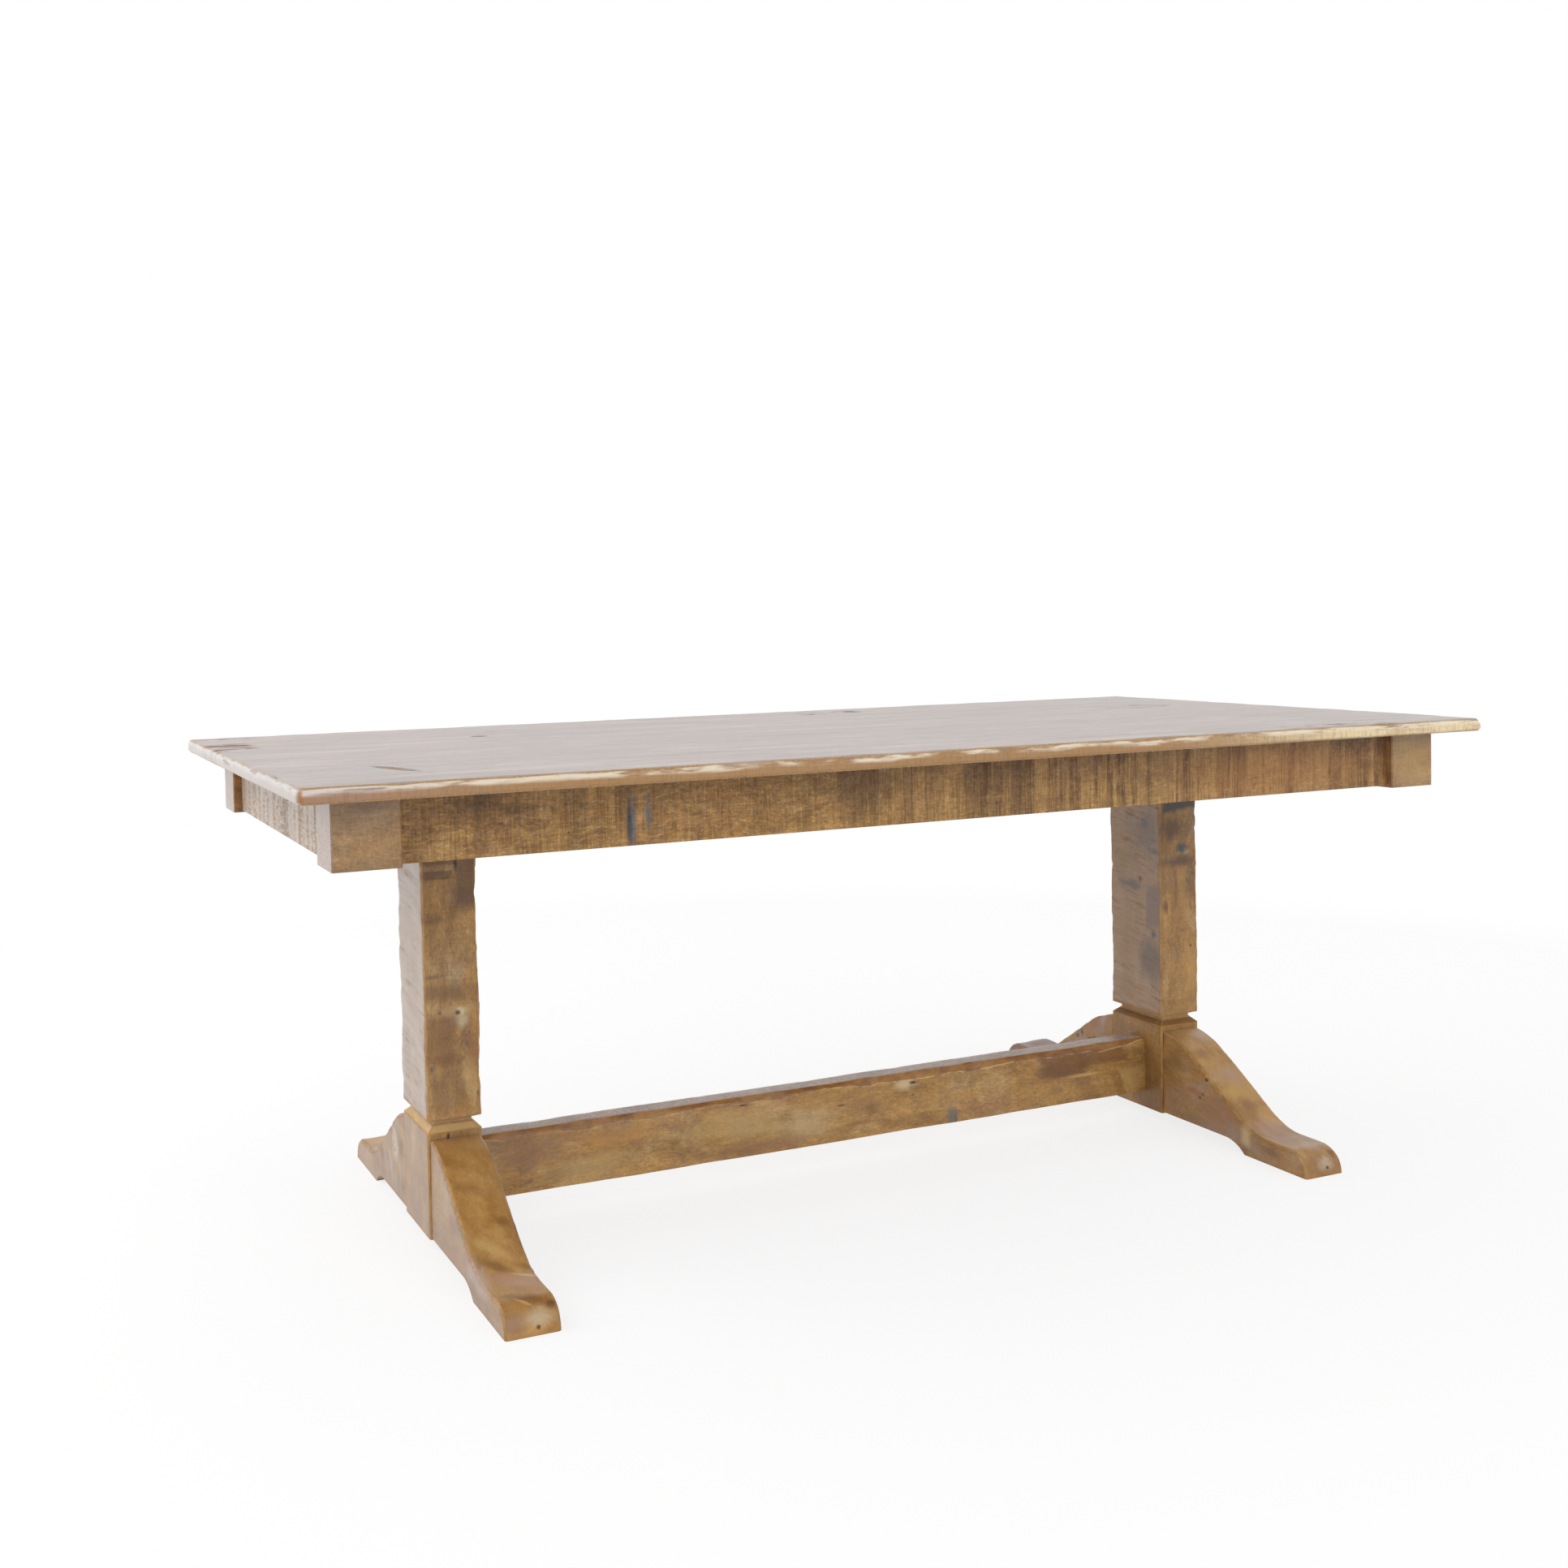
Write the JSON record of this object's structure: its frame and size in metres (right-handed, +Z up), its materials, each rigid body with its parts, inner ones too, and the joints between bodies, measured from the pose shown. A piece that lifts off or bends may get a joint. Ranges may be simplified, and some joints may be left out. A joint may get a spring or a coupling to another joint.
{
  "type": "trestle dining table",
  "caption": "Rustic solid-wood trestle dining table: worn rectangular top, aprons between square corner blocks, hewn posts on S-curved feet, joined by a low stretcher.",
  "frame": {"origin": "on the floor, under the centre of the table", "axes": "+X along the table to the right, +Y across it to the rear, +Z up"},
  "size_m": [2, 1, 0.762],
  "materials": {
    "top_wood": "honey stain under satin lacquer, worn pale along the edges",
    "apron_wood": "rough-sawn, brown stain, satin lacquer",
    "block_wood": "smooth, brown stain, satin lacquer",
    "trestle_wood": "hewn, honey stain, satin lacquer",
    "bearer_wood": "planed and left bare",
    "dowel_wood": "turned and left bare",
    "zinc_steel": "zinc plated"
  },
  "bodies": {
    "root": {"top_board_1": "top_wood", "top_board_2": "top_wood", "top_board_3": "top_wood", "top_board_4": "top_wood", "top_board_5": "top_wood", "top_board_6": "top_wood", "top_board_7": "top_wood", "top_board_8": "top_wood", "front_apron": "apron_wood", "right_apron": "apron_wood", "rear_apron": "apron_wood", "left_apron": "apron_wood", "corner_block_front_left": "block_wood", "corner_block_front_right": "block_wood", "corner_block_rear_right": "block_wood", "corner_block_rear_left": "block_wood", "left_post": "trestle_wood", "right_post": "trestle_wood", "left_front_foot": "trestle_wood", "left_rear_foot": "trestle_wood", "right_front_foot": "trestle_wood", "right_rear_foot": "trestle_wood", "stretcher": "trestle_wood", "left_bearer": "bearer_wood", "right_bearer": "bearer_wood", "top_buttons": "bearer_wood", "bearer_pegs": "dowel_wood", "bearer_screws": "zinc_steel", "button_screws": "zinc_steel", "stretcher_bolts": "zinc_steel", "stretcher_washers": "zinc_steel", "stretcher_nuts": "zinc_steel"}
  },
  "joints": []
}
